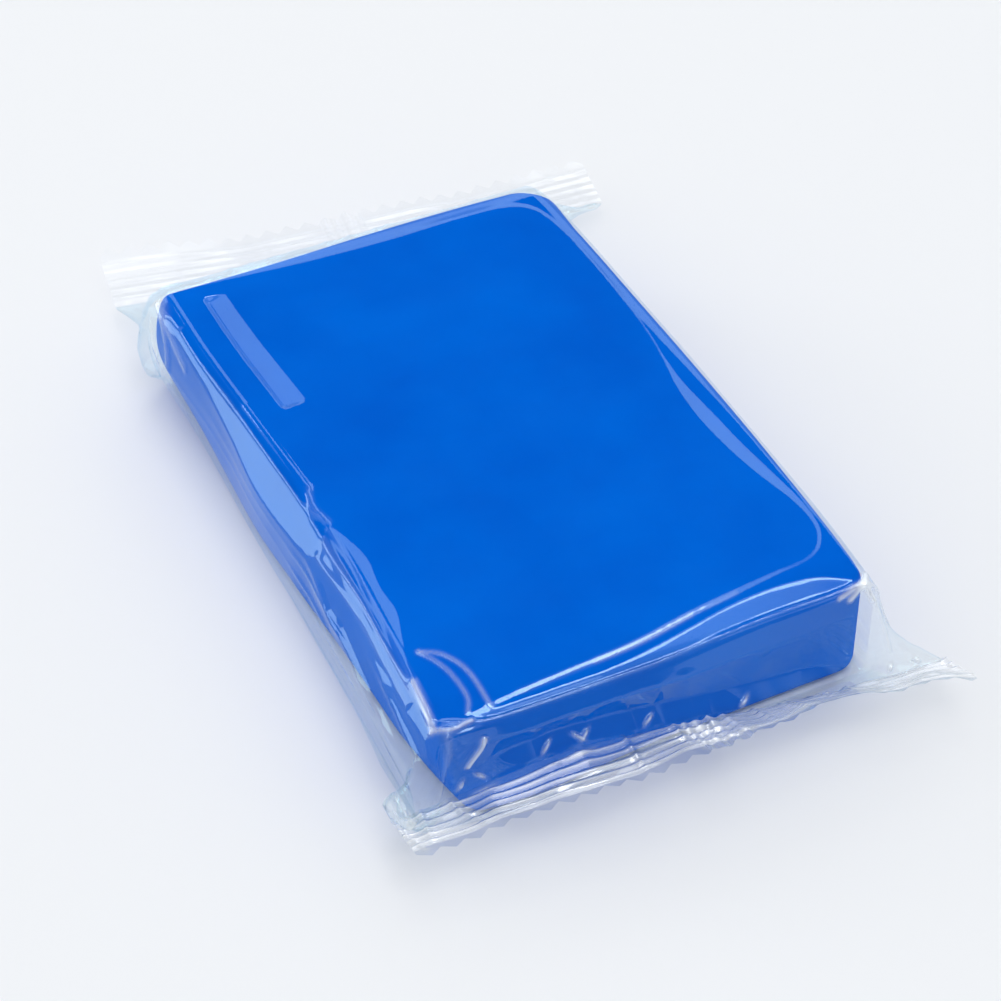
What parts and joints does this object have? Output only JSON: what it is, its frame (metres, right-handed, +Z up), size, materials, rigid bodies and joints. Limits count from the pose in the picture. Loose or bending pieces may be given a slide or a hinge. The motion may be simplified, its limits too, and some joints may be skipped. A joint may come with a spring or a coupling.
{
  "type": "detailing clay bar",
  "caption": "Rectangular block of paint-cleaning clay sealed in a clear flow-wrap film pack with ribbed, zigzag-cut end seals.",
  "frame": {"origin": "on the resting surface under the middle of the clay block", "axes": "+X across the bar, +Y along the bar towards the far end seal, +Z up from the resting surface"},
  "size_m": [0.0698, 0.1144, 0.0142],
  "materials": {
    "clay": "smooth waxy putty, slightly sticky, opaque blue",
    "film": "clear glossy packaging film",
    "film_seal": "two layers of clear film welded together, hazy where ribbed"
  },
  "bodies": {
    "pack": {"clay_bar": "clay", "film_sleeve": "film", "back_seam_fin": "film_seal", "near_pocket_film": "film", "far_pocket_film": "film"},
    "near_seal": {"near_end_crimp": "film_seal"},
    "far_seal": {"far_end_crimp": "film_seal"}
  },
  "joints": [
    {"name": "near_seal_fold", "type": "hinge", "parent": "pack", "child": "near_seal", "pos_m": [0.0013, -0.0419, 0.0038], "axis": [-0.999, 0.0436, 0], "range_deg": [-5, 45], "stiffness_Nm_per_rad": 0.004},
    {"name": "far_seal_fold", "type": "hinge", "parent": "pack", "child": "far_seal", "pos_m": [0.0052, 0.0507, 0.00062], "axis": [0.9945, -0.1045, 0], "range_deg": [0, 75], "stiffness_Nm_per_rad": 0.004}
  ]
}
